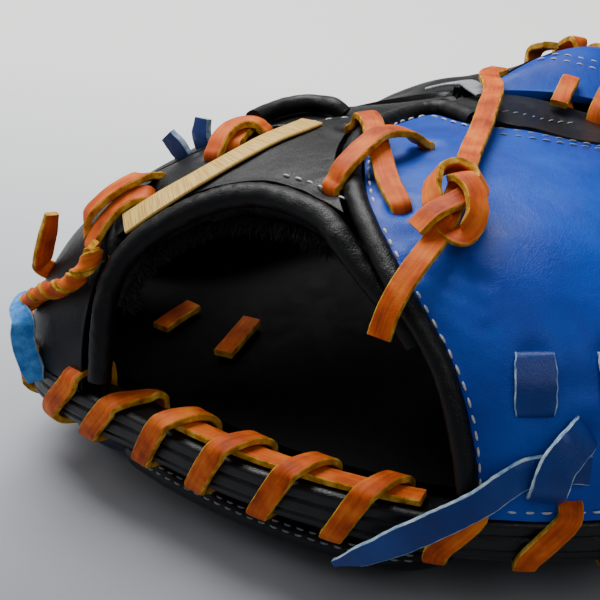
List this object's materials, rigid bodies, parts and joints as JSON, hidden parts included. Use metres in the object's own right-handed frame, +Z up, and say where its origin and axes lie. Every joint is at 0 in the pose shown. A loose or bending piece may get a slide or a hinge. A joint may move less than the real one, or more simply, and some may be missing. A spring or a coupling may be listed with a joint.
{
  "type": "catcher's mitt",
  "caption": "Left-hand catcher's mitt of black and royal blue leather with a stacked edge, whip-laced all round in orange, lying pocket down with its wrist opening to the front.",
  "frame": {"origin": "on the table, at the middle of the heel of the padding where the mitt rests on it", "axes": "+Z up from the table, +Y from the wrist towards the finger tips, +X towards the thumb"},
  "size_m": [0.2532, 0.3086, 0.1182],
  "materials": {
    "black_leather": "matte black grained leather",
    "palm_leather": "dark blue grained leather",
    "lining_leather": "smooth black leather",
    "blue_leather": "royal blue grained leather",
    "suede": "light blue suede",
    "felt_padding": "felt",
    "fleece": "black fleece",
    "thread": "satin gold thread",
    "orange_lace": "orange rawhide lace with paler edges"
  },
  "bodies": {
    "root": {"edge_stack": "black_leather", "heel_patch": "black_leather", "finger_back": "black_leather", "knuckle_back": "black_leather", "little_finger_back": "black_leather", "thumb_strip": "black_leather", "wrist_strap": "black_leather", "opening_roll": "black_leather", "thumb_piping": "black_leather", "knuckle_roll": "black_leather", "palm_shell": "palm_leather", "palm_lining": "lining_leather", "thumb_back": "blue_leather", "web": "blue_leather", "heel_strap": "blue_leather", "heel_keeper": "blue_leather", "woven_lace_1": "blue_leather", "woven_lace_2": "blue_leather", "woven_lace_3": "blue_leather", "blue_stub_1": "blue_leather", "blue_stub_2": "blue_leather", "side_strap_end": "suede", "palm_padding": "felt_padding", "strap_fleece": "fleece", "gold_bar": "thread", "rim_lacing": "orange_lace", "heel_running_lace": "orange_lace", "web_thumb_lacing": "orange_lace", "web_finger_lacing": "orange_lace", "strap_lace_under": "orange_lace", "strap_lace_over": "orange_lace", "middle_lace_under": "orange_lace", "middle_lace_over": "orange_lace", "side_lace_under": "orange_lace", "side_lace_over": "orange_lace", "long_lace": "orange_lace", "lace_knot": "orange_lace", "upright_lace_end": "orange_lace", "twisted_lace": "orange_lace", "inner_lace_1": "orange_lace", "inner_lace_2": "orange_lace"}
  },
  "joints": []
}
